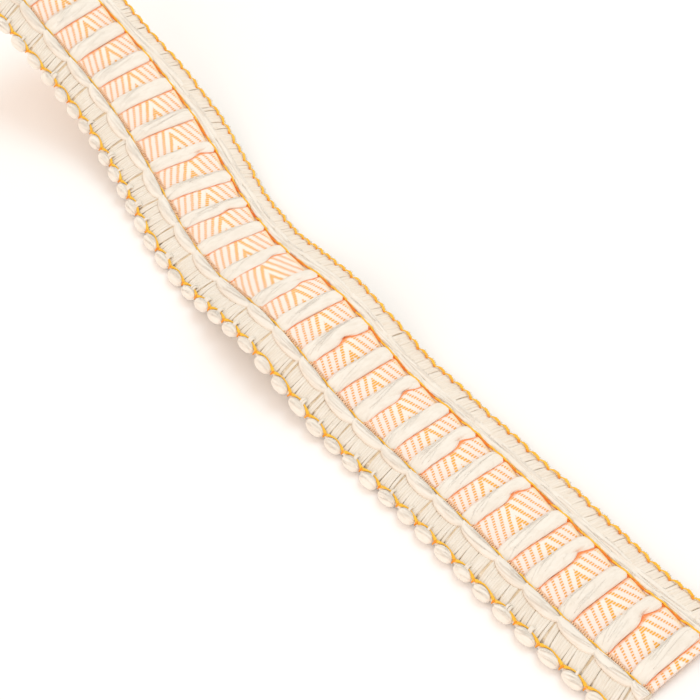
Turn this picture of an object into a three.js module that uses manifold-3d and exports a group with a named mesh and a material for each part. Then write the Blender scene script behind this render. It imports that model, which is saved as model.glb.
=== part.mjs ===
// A cut length of braid trim: a herringbone ribbon threaded under the rungs of a cream
// cotton ladder, with a beaded picot edge and orange binding threads.
// Millimetres, +Z up. The trim rests on the plane z = 0.
import * as THREE from 'three';
import { mergeVertices } from 'three/addons/utils/BufferGeometryUtils.js';
import Module from 'manifold-3d';

const wasm = await Module();
wasm.setup();

// Overall length of the cut piece, measured along it
const LENGTH = 234;

// Plan direction of the trim, in degrees from +X, one row each 25 mm from the far end
const STATION_STEP = 25;
const STATIONS = [
  { along: 0, heading: 10.8 },
  { along: 25, heading: 8.4 },
  { along: 50, heading: -5.0 },
  { along: 75, heading: -12.6 },
  { along: 100, heading: -4.5 },
  { along: 125, heading: -1.8 },
  { along: 150, heading: 1.7 },
  { along: 175, heading: 0.8 },
  { along: 200, heading: -0.5 },
  { along: 225, heading: 4.0 },
  { along: 250, heading: 0.1 },
];

// Where the trim leaves the surface: its far end curls up, and a low hump lies further on
const END_LIFT = { height: 25.2, reach: 86 };
const HUMP = { height: 4.7, centre: 124, reach: 30 };

// Plan place of the far end, which puts the origin under the middle of the whole piece
const START_X = -112.52;
const START_Y = 1.872;

// Rungs: the first one's place, then runs of even spacing
const FIRST_RUNG = 5.4;
const RUNG_RUNS = [
  { gaps: 4, pitch: 9.05 },
  { gaps: 1, pitch: 9.6 },
  { gaps: 1, pitch: 10.8 },
  { gaps: 3, pitch: 9.5 },
  { gaps: 1, pitch: 10.6 },
  { gaps: 1, pitch: 13.3 },
  { gaps: 2, pitch: 9.1 },
  { gaps: 1, pitch: 8.6 },
  { gaps: 2, pitch: 9.25 },
  { gaps: 3, pitch: 8.17 },
  { gaps: 1, pitch: 10.7 },
  { gaps: 1, pitch: 7.9 },
  { gaps: 3, pitch: 9.1 },
];
const RUNG = {
  width: 4.0, endWidth: 3.6, bottom: 1.3, top: 3.1, endTop: 2.5,
  reach: 8.8, taperFrom: 2.5, taperTo: 7.9, creaseShift: 0.55, steps: 5,
};
// Cross outline of a rung, as shares of its half width and of its height
const RUNG_OUTLINE = [
  { wide: -1, high: 0 },
  { wide: -1, high: 0.55 },
  { wide: -0.6, high: 1 },
  { wide: 0, high: 0.72 },
  { wide: 0.6, high: 1 },
  { wide: 1, high: 0.55 },
  { wide: 1, high: 0 },
];

// Beads of the picot edge, and the lobes of the other edge, share one pitch
const PITCH = 5.8;
const FIRST_NODE = 4.93;
const FIRST_LOBE = 2.1;
const BEAD = { across: -16.35, height: 1.42, long: 4.9, wide: 3.0, high: 2.5, sides: 6, steps: 5 };
const NECK = { across: -15.9, height: 1.0, radius: 0.5 };

// The ribbon lies flat under a rung, puffs up right past it, higher between its own two edges
// than along them, and slopes down to the next rung, with a last bend halfway down
const RIBBON = {
  width: 15.2, thickness: 0.9, flatHalf: 2.4, fullHalf: 6.6, edgeShare: 0.5, halfwayRise: 0.8,
};
const PUFF = [
  { past: 2.4, rise: 0 },
  { past: 2.9, rise: 0.95 },
  { past: 3.4, rise: 1.4 },
  { past: 4.0, rise: 1.4 },
];

// Bands: their top points by distance across from the middle of the ribbon, and the heights
// of the edge beside the ribbon, of the long floats along it, of the lobes and of the rim
const KNOB_BAND = {
  tops: [7.95, 8.6, 9.2, 10.3, 11.2, 14.55],
  edge: 1.7, leafAt: 9.9, leafHalf: 1.3, leafHigh: 2.7, rimFrom: 10.8, rim: 1.9, steps: 134,
};
const LOBE_BAND = {
  tops: [7.95, 8.7, 9.4, 10.1, 11.5, 13.4],
  edge: 1.7, leafAt: 9.4, leafHalf: 0.7, leafHigh: 2.5, rim: 1.3, steps: 160,
  lobeAt: 11.5, lobeHalf: 1.4, lobeHigh: 2.3, lobeSwell: 0.3, wave: 0.4,
  wider: 0.4, widerFrom: 95, widerTo: 140,
};

// Binding threads: those beside the ribbon rise over each rung, the one at the beads dips
// between them, and the one along the lobes follows their edge
const THREAD = { radius: 0.42, sides: 3, clearance: 0.32 };
const INNER_THREAD = { across: 8.0, rungRise: 0.95, riseFlat: 2.1, riseReach: 3.8, steps: 134 };
const BEAD_THREAD = { across: -15.5, inward: 1.0, height: 2.46, rise: 0.6, steps: 202 };
const LOBE_THREAD = { inset: 0.2, height: 2.1, steps: 160 };

const cream = new THREE.MeshStandardMaterial({ color: 0xf3ead9, roughness: 0.9, metalness: 0 });
const ribbonCloth = new THREE.MeshStandardMaterial({ color: 0xfbdcc9, roughness: 0.7, metalness: 0 });
const orange = new THREE.MeshStandardMaterial({ color: 0xf59d3a, roughness: 0.6, metalness: 0 });

const { clamp, degToRad, lerp, smoothstep } = THREE.MathUtils;
const TURN = 2 * Math.PI;

// Heading at a distance along, on a smooth curve through the stations
const headingCurve = new THREE.CatmullRomCurve3(
  STATIONS.map(({ along, heading }) => new THREE.Vector3(along, heading, 0)), false, 'catmullrom', 0.5);

function headingAt(along) {
  const share = clamp(along / (STATION_STEP * (STATIONS.length - 1)), 0, 1);
  return degToRad(headingCurve.getPoint(share).y);
}

function heightAt(along) {
  const lift = END_LIFT.height * clamp(1 - along / END_LIFT.reach, 0, 1) ** 2;
  const fromHump = Math.abs(along - HUMP.centre) / HUMP.reach;
  const hump = fromHump < 1 ? HUMP.height * (0.5 + 0.5 * Math.cos(Math.PI * fromHump)) : 0;
  return lift + hump;
}

function slopeAt(along) {
  const step = 0.05;
  return Math.asin((heightAt(along + step) - heightAt(along - step)) / (2 * step));
}

// Places along the middle of the trim, added up in short steps
const WALK = 0.5;
const MERGE_WITHIN = 1e-4;
const MIN_STEP = 0.3;
const walked = [new THREE.Vector3(START_X, START_Y, 0)];
for (let along = 0; along < LENGTH + WALK; along += WALK) {
  const middle = along + WALK / 2;
  const forward = WALK * Math.cos(slopeAt(middle));
  const last = walked[walked.length - 1];
  walked.push(new THREE.Vector3(
    last.x + forward * Math.cos(headingAt(middle)),
    last.y + forward * Math.sin(headingAt(middle)),
    0));
}

// Rung places along the trim, and the ends of the long floats, one more past each end rung
const rungPlaces = [FIRST_RUNG];
for (const { gaps, pitch } of RUNG_RUNS) {
  for (let i = 0; i < gaps; i += 1) rungPlaces.push(rungPlaces[rungPlaces.length - 1] + pitch);
}
const floatEnds = [
  FIRST_RUNG - RUNG_RUNS[0].pitch, ...rungPlaces,
  rungPlaces[rungPlaces.length - 1] + RUNG_RUNS[RUNG_RUNS.length - 1].pitch,
];

// Turns a point given along, across and above the underside into the place where it lies
function lay(along, across, above) {
  const k = clamp(Math.floor(along / WALK), 0, walked.length - 2);
  const spot = walked[k].clone().lerp(walked[k + 1], along / WALK - k);
  spot.z = heightAt(along);
  const heading = headingAt(along);
  const slope = slopeAt(along);
  const side = new THREE.Vector3(-Math.sin(heading), Math.cos(heading), 0);
  const up = new THREE.Vector3(
    -Math.sin(slope) * Math.cos(heading), -Math.sin(slope) * Math.sin(heading), Math.cos(slope));
  return spot.addScaledVector(side, across).addScaledVector(up, above);
}

// A strip with the given cross outline, [across, above] points, whose points are first
// moved by shape(along, across, above) and then laid
function strip(outline, steps, shape, from = 0, to = LENGTH) {
  const section = new THREE.Shape(outline.map(([across, above]) => new THREE.Vector2(across, above)));
  const geometry = new THREE.ExtrudeGeometry(section, { depth: to - from, steps, bevelEnabled: false });
  return moved(geometry, (x, y, z) => {
    const [along, across, above] = shape(from + z, x, y);
    return lay(along, across, above);
  });
}

function moved(geometry, place) {
  geometry.deleteAttribute('normal');
  geometry.deleteAttribute('uv');
  const merged = mergeVertices(geometry, MERGE_WITHIN);
  const points = merged.getAttribute('position');
  for (let i = 0; i < points.count; i += 1) {
    const p = place(points.getX(i), points.getY(i), points.getZ(i));
    points.setXYZ(i, p.x, p.y, p.z);
  }
  return merged;
}

function solid(geometry) {
  return new wasm.Manifold(new wasm.Mesh({
    numProp: 3,
    vertProperties: new Float32Array(geometry.getAttribute('position').array),
    triVerts: new Uint32Array(geometry.index.array),
  }));
}

function geometryOf(body) {
  const mesh = body.getMesh();
  return new THREE.BufferGeometry()
    .setAttribute('position', new THREE.BufferAttribute(mesh.vertProperties, 3))
    .setIndex(new THREE.BufferAttribute(mesh.triVerts, 1));
}

// 1 near a rung's middle, falling to 0 at the given reach from it
function nearRung(along, flat, reach) {
  const off = Math.min(...rungPlaces.map((place) => Math.abs(along - place)));
  return 1 - smoothstep(off, flat, reach);
}

// The rise at a place along, between the rows before and after it
function valueAt(rows, along) {
  const next = rows.findIndex((row) => row.along > along);
  const before = rows[next - 1];
  const after = rows[next];
  return lerp(before.rise, after.rise, (along - before.along) / (after.along - before.along));
}

// A rounded rise of 1 at the middle and 0 at the given half width
function rounded(offset, half) {
  const share = clamp(Math.abs(offset) / half, 0, 1);
  return Math.sqrt(1 - share * share);
}

// Corners of a regular outline of radius 1, the first one at the given share of a turn
function corners(sides, first) {
  return Array.from({ length: sides }, (_, i) => {
    const angle = TURN * (i / sides + first);
    return [Math.cos(angle), Math.sin(angle)];
  });
}

// How high the ribbon's top puffs up, by place along it
function puffRows() {
  const last = PUFF[PUFF.length - 1].past;
  return floatEnds.flatMap((place, k) => {
    const next = floatEnds[k + 1] ?? place + PITCH;
    return [
      { along: place - RIBBON.flatHalf, rise: 0 },
      { along: place, rise: 0 },
      ...PUFF.map(({ past, rise }) => ({ along: place + past, rise })),
      { along: (place + last + next - RIBBON.flatHalf) / 2, rise: RIBBON.halfwayRise },
    ];
  });
}

function ribbon() {
  const { width, thickness, fullHalf, edgeShare } = RIBBON;
  const half = width / 2;
  const top = [half, fullHalf, -fullHalf, -half].map((across) => [across, thickness]);
  const outline = [[-half, 0], [half, 0], ...top];
  const rows = puffRows();
  const inner = rows.filter(({ along }) => along > MIN_STEP && along < LENGTH - MIN_STEP);
  const places = [0, ...inner.map(({ along }) => along), LENGTH];
  const steps = places.length - 1;
  return strip(outline, steps, (evenly, across, above) => {
    const along = places[Math.round(evenly * steps / LENGTH)];
    const share = Math.abs(across) > fullHalf ? edgeShare : 1;
    const rise = above > 0 ? share * valueAt(rows, along) : 0;
    return [along, across, above + rise];
  });
}

// Long oval floats beside the ribbon, one for each rung, from one rung to the next
function leaf(along, across, at, half) {
  const next = floatEnds.findIndex((end) => end > along);
  const before = floatEnds[next - 1];
  const after = floatEnds[next];
  const middle = (before + after) / 2;
  return rounded(along - middle, (after - before) / 2) * rounded(across - at, half);
}

function knobBand() {
  const { tops, edge, leafAt, leafHalf, leafHigh, rimFrom, rim, steps } = KNOB_BAND;
  const inner = tops[0];
  const outer = tops[tops.length - 1];
  const outline = [...tops.map((across) => [-across, edge]), [-outer, 0], [-inner, 0]];
  return strip(outline, steps, (along, across, above) => {
    if (above === 0) return [along, across, 0];
    const float = (leafHigh - edge) * leaf(along, -across, leafAt, leafHalf);
    const outward = (rim - edge) * smoothstep(-across, rimFrom, outer);
    return [along, across, edge + float + outward];
  });
}

// The lobes' way in and out: positive where a lobe reaches outwards
function lobeWave(along) {
  return LOBE_BAND.wave * Math.cos(TURN * (along - FIRST_LOBE) / PITCH);
}

// How far out the lobed edge stands from its given place
function lobeReach(along) {
  const { wider, widerFrom, widerTo } = LOBE_BAND;
  return lobeWave(along) + wider * smoothstep(along, widerFrom, widerTo);
}

function lobeBand() {
  const { tops, edge, leafAt, leafHalf, leafHigh, rim, steps } = LOBE_BAND;
  const { lobeAt, lobeHalf, lobeHigh, lobeSwell, wave } = LOBE_BAND;
  const inner = tops[0];
  const outer = tops[tops.length - 1];
  const outline = [[inner, 0], [outer, 0], ...tops.map((across) => [across, edge]).reverse()];
  return strip(outline, steps, (along, across, above) => {
    const outward = smoothstep(across, lobeAt, outer);
    const out = across + lobeReach(along) * outward;
    if (above === 0) return [along, out, 0];
    const swell = 1 - lobeSwell + lobeSwell * lobeWave(along) / wave;
    const lobe = (lobeHigh - edge) * swell * rounded(across - lobeAt, lobeHalf);
    const float = (leafHigh - edge) * leaf(along, across, leafAt, leafHalf);
    return [along, out, edge + Math.max(lobe, float) + (rim - edge) * outward];
  });
}

// A rung of two strands side by side, narrower and lower at its ends, with the crease
// between the strands running slantwise
function rung(place) {
  const section = new THREE.Shape(
    RUNG_OUTLINE.map(({ wide, high }) => new THREE.Vector2(wide * RUNG.width / 2, high)));
  const extent = { depth: 2 * RUNG.reach, steps: RUNG.steps, bevelEnabled: false };
  const geometry = new THREE.ExtrudeGeometry(section, extent);
  return moved(geometry, (x, y, z) => {
    const across = RUNG.reach - z;
    const toEnd = smoothstep(Math.abs(across), RUNG.taperFrom, RUNG.taperTo);
    const narrowed = 1 - toEnd * (1 - RUNG.endWidth / RUNG.width);
    const top = RUNG.top - toEnd * (RUNG.top - RUNG.endTop);
    const slant = x === 0 ? RUNG.creaseShift * across / RUNG.reach : 0;
    return lay(place + x * narrowed + slant, across, RUNG.bottom + y * (top - RUNG.bottom));
  });
}

function ladder() {
  let body = solid(knobBand()).add(solid(lobeBand()));
  for (const place of rungPlaces) body = body.add(solid(rung(place)));
  return geometryOf(body);
}

// The beaded cord: oval beads between narrow necks, one neck each pitch
function picotCord() {
  const beads = Math.floor((LENGTH - FIRST_NODE) / PITCH);
  const outline = corners(BEAD.sides, 0.5 / BEAD.sides);
  return strip(outline, beads * BEAD.steps, (along, x, y) => {
    const share = ((along - FIRST_NODE) / PITCH) % 1;
    const swell = rounded((share - 0.5) * PITCH, BEAD.long / 2);
    const across = NECK.across + swell * (BEAD.across - NECK.across);
    const height = NECK.height + swell * (BEAD.height - NECK.height);
    const wide = NECK.radius + swell * (BEAD.wide / 2 - NECK.radius);
    const high = NECK.radius + swell * (BEAD.high / 2 - NECK.radius);
    return [along, across + x * wide, height + y * high];
  }, FIRST_NODE, FIRST_NODE + beads * PITCH);
}

// A thread with a corner on top that follows path(along), which gives its [across, above]
function thread(steps, path) {
  return strip(corners(THREAD.sides, 0.25), steps, (along, x, y) => {
    const [across, above] = path(along);
    return [along, across + x * THREAD.radius, above + y * THREAD.radius];
  });
}

function innerThread(side) {
  const { across, rungRise, riseFlat, riseReach, steps } = INNER_THREAD;
  const low = KNOB_BAND.edge + THREAD.clearance + THREAD.radius / 2;
  return thread(steps, (along) => [side * across, low + rungRise * nearRung(along, riseFlat, riseReach)]);
}

function beadThread() {
  const { across, inward, height, rise, steps } = BEAD_THREAD;
  return thread(steps, (along) => {
    const arc = 0.5 - 0.5 * Math.cos(TURN * (along - FIRST_NODE) / PITCH);
    return [across + inward * arc, height + rise * arc];
  });
}

function lobeThread() {
  const { inset, height, steps } = LOBE_THREAD;
  const outer = LOBE_BAND.tops[LOBE_BAND.tops.length - 1];
  return thread(steps, (along) => [outer - inset + lobeReach(along), height]);
}

const pieces = {
  ribbon: [ribbon(), ribbonCloth],
  cream_ladder: [ladder(), cream],
  picot_cord: [picotCord(), cream],
  thread_inner_knob_side: [innerThread(-1), orange],
  thread_inner_lobe_side: [innerThread(1), orange],
  thread_bead_edge: [beadThread(), orange],
  thread_lobe_edge: [lobeThread(), orange],
};

const trim = new THREE.Group();
for (const [name, [geometry, material]] of Object.entries(pieces)) {
  const mesh = new THREE.Mesh(geometry, material);
  mesh.name = name;
  trim.add(mesh);
}

export default trim;
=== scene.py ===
"""The looks of a cut length of braid trim: a herringbone ribbon under soft cream rungs, a beaded edge, a
lobed edge and orange threads. Each yarn is placed in mm along, across and above the trim, and lay() then
puts it where the trim lies."""
import math

import bpy
import numpy as np
from mathutils import Matrix, Vector


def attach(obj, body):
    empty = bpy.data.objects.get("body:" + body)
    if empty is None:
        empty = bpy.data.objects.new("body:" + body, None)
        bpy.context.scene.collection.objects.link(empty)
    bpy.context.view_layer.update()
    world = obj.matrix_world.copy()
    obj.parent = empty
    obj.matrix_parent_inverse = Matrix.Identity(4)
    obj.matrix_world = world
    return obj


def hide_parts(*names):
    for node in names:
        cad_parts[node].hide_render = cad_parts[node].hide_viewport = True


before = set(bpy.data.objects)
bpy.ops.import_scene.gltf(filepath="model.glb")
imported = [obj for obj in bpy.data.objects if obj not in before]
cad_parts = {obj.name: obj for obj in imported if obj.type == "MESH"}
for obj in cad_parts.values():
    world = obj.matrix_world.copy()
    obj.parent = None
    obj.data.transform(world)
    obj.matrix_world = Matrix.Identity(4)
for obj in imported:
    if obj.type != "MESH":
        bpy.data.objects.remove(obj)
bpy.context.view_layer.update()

MM = 0.001
TURN = 2 * math.pi
TINY = 1e-9

# The lie of the trim, in millimetres and degrees
LENGTH = 234.0
STATION_STEP = 25.0
HEADINGS = np.array([10.8, 8.4, -5.0, -12.6, -4.5, -1.8, 1.7, 0.8, -0.5, 4.0, 0.1])
END_LIFT = {"height": 25.2, "reach": 86.0}
HUMP = {"height": 4.7, "centre": 124.0, "reach": 30.0}
START_X = -112.52
START_Y = 1.872
WALK = 0.5

# Rungs, in millimetres: the first one's place, then runs of even spacing
FIRST_RUNG = 5.4
RUNG_RUNS = [
    {"gaps": 4, "pitch": 9.05}, {"gaps": 1, "pitch": 9.6}, {"gaps": 1, "pitch": 10.8},
    {"gaps": 3, "pitch": 9.5}, {"gaps": 1, "pitch": 10.6}, {"gaps": 1, "pitch": 13.3},
    {"gaps": 2, "pitch": 9.1}, {"gaps": 1, "pitch": 8.6}, {"gaps": 2, "pitch": 9.25},
    {"gaps": 3, "pitch": 8.17}, {"gaps": 1, "pitch": 10.7}, {"gaps": 1, "pitch": 7.9},
    {"gaps": 3, "pitch": 9.1},
]
SPACINGS = np.concatenate([np.full(run["gaps"], run["pitch"]) for run in RUNG_RUNS])
RUNGS = FIRST_RUNG + np.concatenate([[0], np.cumsum(SPACINGS)])
# The same places, with one more before the first and one past the last
RUNGS_BEYOND = np.concatenate([[RUNGS[0] - SPACINGS[0]], RUNGS, [RUNGS[-1] + SPACINGS[-1]]])
# How far across the rungs that part in two have their waist, by the rung's number
WAISTS = {6: 4.2, 8: 3.7, 10: 4.4, 11: 3.9, 13: 2.0, 15: 4.0, 17: 4.3, 19: 3.8, 21: 4.4, 23: 3.6}
# How much the slackened rungs add to their half width, by the rung's number
WIDENED = {10: 0.65, 11: 0.15, 15: 0.35}
RUNG = {"half": 2.0, "reach": 8.8, "overlap": 1.3, "pinch": 1.3, "waist": 1.9, "sweep": 0.4}

# The braid, in millimetres
PITCH = 5.8
FIRST_NODE = 4.93
FIRST_LOBE = 2.1
BEAD_COUNT = int((LENGTH - FIRST_NODE) / PITCH)
END_GAP = 0.1
FEWEST_STEPS = 4
RIBBON = {
    "width": 15.2, "thickness": 0.6, "edge_thinning": 0.35, "top": 1.3, "puff": 1.25, "grid": 0.36,
    "rise_from": 0.95, "crest": 2.7, "fall_to": 1.7, "waist_shift": 0.8, "knob_arch": 0.6,
    "lobe_arch": 0.15,
}
RIBBON_EDGE = RIBBON["width"] / 2
INNER_LINE = 8.05
BAND_INNER = 7.63
KNOB_OUTER = 14.6
LOBE_ARC = {"base": 12.95, "wider": 0.4, "widens": (95, 140), "lobe": 0.2, "arc": 0.48, "rise": 0.38}
BEAD = {"across": -16.2, "above": 1.3, "long": 2.3, "wide": 1.3, "high": 1.15, "stray": 0.12, "rim": 0.05}

# Soft strands: loose fibres, sides of the tube, plies, depth of the grooves and turns in a mm
RUNG_ROVING = {"fibres": 12, "sides": 46, "plies": 13, "groove": 0.08}
LEAF_ROVING = {"fibres": 12, "sides": 38, "plies": 11, "groove": 0.07, "twist": 0.02}
FLAT_ROVING = {"fibres": 6, "sides": 30, "plies": 9, "groove": 0.07, "twist": 0.012}
BEAD_ROVING = {"fibres": 14, "sides": 32, "plies": 9, "groove": 0.04, "twist": 0.03}

# Twisted threads, in the same terms
BEAD_EDGE_TWIST = {"sides": 9, "plies": 2, "groove": 0.3, "twist": 0.6}
KNOT_TWIST = {"sides": 8, "plies": 2, "groove": 0.3, "twist": 0.4}
INNER_TWIST = {"sides": 9, "plies": 2, "groove": 0.3, "twist": 0.5}
LOBE_EDGE_TWIST = {"sides": 10, "plies": 2, "groove": 0.35, "twist": 0.42}
DEEP_TWIST = {"sides": 9, "plies": 2, "groove": 0.25, "twist": 0.4}


# The lie

def smooth(x, low, high):
    """A soft step from 0 at low to 1 at high"""
    share = np.clip((np.asarray(x, float) - low) / (high - low), 0, 1)
    return share * share * (3 - 2 * share)


def heading_at(along):
    """Plan direction in radians, on a smooth curve through the stations"""
    place = np.clip(np.asarray(along, float) / STATION_STEP, 0, len(HEADINGS) - 1)
    k = np.minimum(place.astype(int), len(HEADINGS) - 2)
    t = place - k
    ends = 2 * HEADINGS[[0, -1]] - HEADINGS[[1, -2]]
    h = np.concatenate([ends[:1], HEADINGS, ends[1:]])
    before, start, end, after = h[k], h[k + 1], h[k + 2], h[k + 3]
    out, into = (end - before) / 2, (after - start) / 2
    square = 3 * (end - start) - 2 * out - into
    cube = 2 * (start - end) + out + into
    return np.radians(start + t * (out + t * (square + t * cube)))


def height_at(along):
    """Height of the trim's underside"""
    lift = END_LIFT["height"] * np.clip(1 - along / END_LIFT["reach"], 0, 1) ** 2
    off = np.clip(np.abs(along - HUMP["centre"]) / HUMP["reach"], 0, 1)
    return lift + HUMP["height"] * (0.5 + 0.5 * np.cos(math.pi * off))


def slope_at(along):
    """Slope in radians"""
    step = 0.05
    return np.arcsin((height_at(along + step) - height_at(along - step)) / (2 * step))


middles = np.arange(0, LENGTH + WALK, WALK) + WALK / 2
forward = WALK * np.cos(slope_at(middles))
walked_x = START_X + np.concatenate([[0], np.cumsum(forward * np.cos(heading_at(middles)))])
walked_y = START_Y + np.concatenate([[0], np.cumsum(forward * np.sin(heading_at(middles)))])


def lay(points):
    """Points given along, across and above, in mm, as places in the frame, in metres"""
    along, across, above = np.asarray(points, float).reshape(-1, 3).T
    k = np.clip((along / WALK).astype(int), 0, len(walked_x) - 2)
    share = along / WALK - k
    heading, slope = heading_at(along), slope_at(along)
    x = walked_x[k] + share * (walked_x[k + 1] - walked_x[k])
    y = walked_y[k] + share * (walked_y[k + 1] - walked_y[k])
    x += -np.sin(heading) * across - np.sin(slope) * np.cos(heading) * above
    y += np.cos(heading) * across - np.sin(slope) * np.sin(heading) * above
    z = height_at(along) + np.cos(slope) * above
    return np.stack([x, y, z], 1) * MM


def from_rung(along):
    """Signed distance along from the nearest rung's middle"""
    off = np.asarray(along, float)[..., None] - RUNGS
    nearest = np.abs(off).argmin(-1)
    return np.take_along_axis(off, nearest[..., None], -1)[..., 0]


def share_of_pitch(along, first):
    """Share of the way from one node or lobe to the next, counted from first"""
    return ((np.asarray(along, float) - first) / PITCH) % 1


def at_waist(k, across):
    """1 at a parted rung's waist, falling to 0 beside it, and 0 on other rungs"""
    across = np.asarray(across, float)
    if k not in WAISTS:
        return np.zeros_like(across)
    return np.exp(-((across - WAISTS[k]) / RUNG["waist"]) ** 2)


# Meshes

def make_mesh(name, points, faces, corner_uvs, attributes, material):
    """faces is a list of arrays with one row a face, and corner_uvs has an array for each"""
    mesh = bpy.data.meshes.new(name)
    sizes = np.concatenate([np.full(len(f), f.shape[1]) for f in faces])
    corners = np.concatenate([f.ravel() for f in faces])
    mesh.vertices.add(len(points))
    mesh.vertices.foreach_set("co", lay(points).astype(np.float32).ravel())
    mesh.loops.add(int(sizes.sum()))
    mesh.loops.foreach_set("vertex_index", corners.astype(np.int32))
    mesh.polygons.add(len(sizes))
    starts = np.concatenate([[0], np.cumsum(sizes)[:-1]])
    mesh.polygons.foreach_set("loop_start", starts.astype(np.int32))
    mesh.polygons.foreach_set("use_smooth", np.ones(len(sizes), bool))
    uvs = np.concatenate([u.reshape(-1, 2) for u in corner_uvs])
    mesh.uv_layers.new(name="Yarn").data.foreach_set("uv", uvs.astype(np.float32).ravel())
    for key, values in attributes.items():
        attribute = mesh.attributes.new(key, "FLOAT", "POINT")
        attribute.data.foreach_set("value", np.asarray(values, np.float32))
    mesh.update(calc_edges=True)
    mesh.validate()
    mesh.materials.append(material)
    piece = bpy.data.objects.new(name, mesh)
    bpy.context.scene.collection.objects.link(piece)
    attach(piece, "root")
    return piece


def run_along(path):
    """How far along a path each of its points is"""
    return np.concatenate([[0], np.cumsum(np.linalg.norm(np.diff(path, axis=0), axis=1))])


def side_and_up(path):
    """Unit vectors square to a path at each point, one level and one upright"""
    tangent = np.gradient(path, axis=0)
    tangent /= np.maximum(np.linalg.norm(tangent, axis=1, keepdims=True), TINY)
    side = np.cross(tangent, [0, 0, 1])
    side /= np.maximum(np.linalg.norm(side, axis=1, keepdims=True), TINY)
    return side, np.cross(side, tangent)


FIBRE = {"steps": 10, "sides": 3, "start": (0, 0.55), "length": (0.35, 0.9), "out": 0.985, "bulge": 0.045}


def loose_fibre(path, wide, high, twist, draw):
    """The path of one fibre on a stretch of a strand, a little off it in its middle"""
    start = draw.uniform(*FIBRE["start"])
    end = min(1.0, start + draw.uniform(*FIBRE["length"]))
    at = np.linspace(start, end, FIBRE["steps"]) * (len(path) - 1)
    row = at.astype(int).clip(0, len(path) - 2)
    share = (at - row)[:, None]
    steps = range(len(path))
    x = np.linspace(-1, 1, FIBRE["steps"])
    angle = draw.uniform(0.08, 0.92) * math.pi + TURN * twist * np.interp(at, steps, run_along(path))
    angle = angle + draw.uniform(-0.25, 0.25) * x
    out = FIBRE["out"] + FIBRE["bulge"] * (1 - x ** 2)
    sideways = np.cos(angle) * out * np.interp(at, steps, wide)
    upward = np.sin(angle) * out * np.interp(at, steps, high)
    side, up = side_and_up(path)
    line = path[row] * (1 - share) + path[row + 1] * share
    return line + side[row] * sideways[:, None] + up[row] * upward[:, None]


class Yarns:
    """Closed tubes gathered into one mesh. A path has a row of along, across and above for each step."""

    def __init__(self):
        self.points, self.tones = [], []
        self.quads, self.quad_uvs = [], []
        self.caps = {}
        self.count = 0

    def add(self, path, wide, high=None, sides=8, plies=0, groove=0.0, twist=0.0, tone=0.5, soft=False):
        """A tube with the half sizes wide and high, whose plies turn round it twist times in a mm"""
        path = np.asarray(path, float)
        steps = len(path)
        wide = np.broadcast_to(wide, steps)
        high = wide if high is None else np.broadcast_to(high, steps)
        side, up = side_and_up(path)
        run = run_along(path)
        angle = TURN * np.arange(sides)[None, :] / sides - TURN / 4
        round_ply = (angle - TURN * twist * run[:, None]) * plies / 2
        dents = np.sin(round_ply) ** 2 if soft else 1 - np.abs(np.cos(round_ply))
        lobes = 1 - groove * dents
        x = np.cos(angle) * lobes * wide[:, None]
        y = np.sin(angle) * lobes * high[:, None]
        ring = path[:, None] + side[:, None] * x[..., None] + up[:, None] * y[..., None]
        self.points.append(ring.reshape(-1, 3))
        self.tones.append(np.full(steps * sides, tone))
        self.add_faces(run, sides)
        self.count += steps * sides

    def add_faces(self, run, sides):
        """The side faces and the two caps of the newest tube"""
        i, j = np.meshgrid(np.arange(len(run) - 1), np.arange(sides), indexing="ij")
        a = self.count + i * sides + j
        b = self.count + i * sides + (j + 1) % sides
        self.quads.append(np.stack([a, a + sides, b + sides, b], -1).reshape(-1, 4))
        u0, u1, v0, v1 = run[i], run[i + 1], j / sides, (j + 1) / sides
        corners = [np.stack(corner, -1) for corner in ((u0, v0), (u1, v0), (u1, v1), (u0, v1))]
        self.quad_uvs.append(np.stack(corners, 2).reshape(-1, 4, 2))
        first = self.count + np.arange(sides)
        last = first + (len(run) - 1) * sides
        self.caps.setdefault(sides, []).append(np.stack([first, last[::-1]]))

    def roving(self, path, wide, high, draw, loose, fibres, sides, plies, groove, twist):
        """A soft strand, and the loose fibres along it, which are gathered apart"""
        path = np.asarray(path, float)
        wide, high = np.broadcast_to(wide, len(path)), np.broadcast_to(high, len(path))
        self.add(path, wide, high, sides, plies, groove, twist, draw.uniform(), soft=True)
        for _ in range(fibres):
            line = loose_fibre(path, wide, high, twist, draw)
            loose.add(line, draw.uniform(0.035, 0.06), sides=FIBRE["sides"], tone=draw.uniform())

    def build(self, name, material, slot):
        """One piece of all the tubes so far"""
        caps = [np.concatenate(same_sides) for same_sides in self.caps.values()]
        faces = [np.concatenate(self.quads)] + caps
        uvs = [np.concatenate(self.quad_uvs)] + [np.zeros((*cap.shape, 2)) for cap in caps]
        tones = {"tone": np.concatenate(self.tones)}
        return make_mesh(name, np.concatenate(self.points), faces, uvs, tones, material)


# Materials

WHITE = (1.0, 1.0, 1.0, 1.0)
COTTON_SHEEN = (1.0, 0.97, 0.92, 1.0)


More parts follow.
